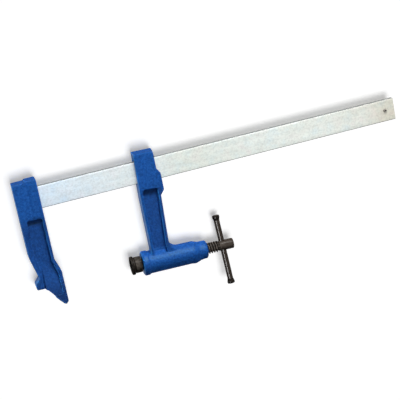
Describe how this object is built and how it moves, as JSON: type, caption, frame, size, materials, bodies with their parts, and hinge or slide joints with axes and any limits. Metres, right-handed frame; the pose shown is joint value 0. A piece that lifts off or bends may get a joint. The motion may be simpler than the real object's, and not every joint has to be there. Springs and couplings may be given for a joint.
{
  "type": "quick release bar clamp",
  "caption": "Bar clamp: a fixed jaw on a flat bar, a loose sliding jaw that cocks and grips, and a screw with a tommy bar and swivel pad.",
  "frame": {"origin": "on the fixed jaw's clamping face, on the line of the screw when the sliding jaw stands square, halfway through the castings", "axes": "+X along the bar towards its free end and out of the fixed clamping face, +Y from the screw's line to the bar, +Z through the flat of the clamp, up as it lies"},
  "size_m": [0.619, 0.2439, 0.038],
  "materials": {
    "blue_paint": "semi-gloss blue paint on a rough sand casting",
    "zinc_bar": "zinc plated, faintly mottled",
    "black_steel": "black oxide with a brown tint, oiled",
    "bright_steel": "plain bright steel"
  },
  "bodies": {
    "frame": {"bar": "zinc_bar", "fixed_jaw": "blue_paint", "jaw_pin_upper": "black_steel", "jaw_pin_lower": "black_steel", "end_stop_pin": "black_steel"},
    "sliding_arm": {"sliding_jaw": "blue_paint"},
    "carriage": {"snap_ring": "bright_steel"},
    "screw": {"spindle": "black_steel"},
    "tommy": {"tommy_bar": "black_steel", "tommy_cap_upper": "black_steel", "tommy_cap_lower": "black_steel"},
    "pad_swivel_ring": {"pad_washer": "bright_steel"},
    "pad": {"swivel_pad": "black_steel"}
  },
  "joints": [
    {"name": "jaw_slide", "type": "slide", "parent": "frame", "child": "sliding_arm", "axis": [1, 0, 0], "range_m": [-0.1064, 0.3774]},
    {"name": "screw_feed", "type": "slide", "parent": "sliding_arm", "child": "carriage", "axis": [-0.9994, 0.0349, 0], "range_m": [-0.0006, 0.0201]},
    {"name": "screw_turn", "type": "hinge", "parent": "carriage", "child": "screw", "pos_m": [0.15689, 0.00009, 0], "axis": [-0.9994, 0.0349, 0], "range_deg": [-45, 1800]},
    {"name": "tommy_slide", "type": "slide", "parent": "screw", "child": "tommy", "axis": [-0.0126, 0.9902, -0.139], "range_m": [-0.0325, 0.0463]},
    {"name": "pad_swivel", "type": "hinge", "parent": "carriage", "child": "pad_swivel_ring", "pos_m": [0.12161, 0.00132, 0], "axis": [-0.9994, 0.0349, 0], "continuous": true},
    {"name": "pad_tilt", "type": "hinge", "parent": "pad_swivel_ring", "child": "pad", "pos_m": [0.12161, 0.00132, 0], "axis": [0, 0, 1], "range_deg": [-4, 4]}
  ],
  "couplings": [
    {"joint": "screw_feed", "follows": "screw_turn", "m_per_rad": 0.00063662}
  ]
}
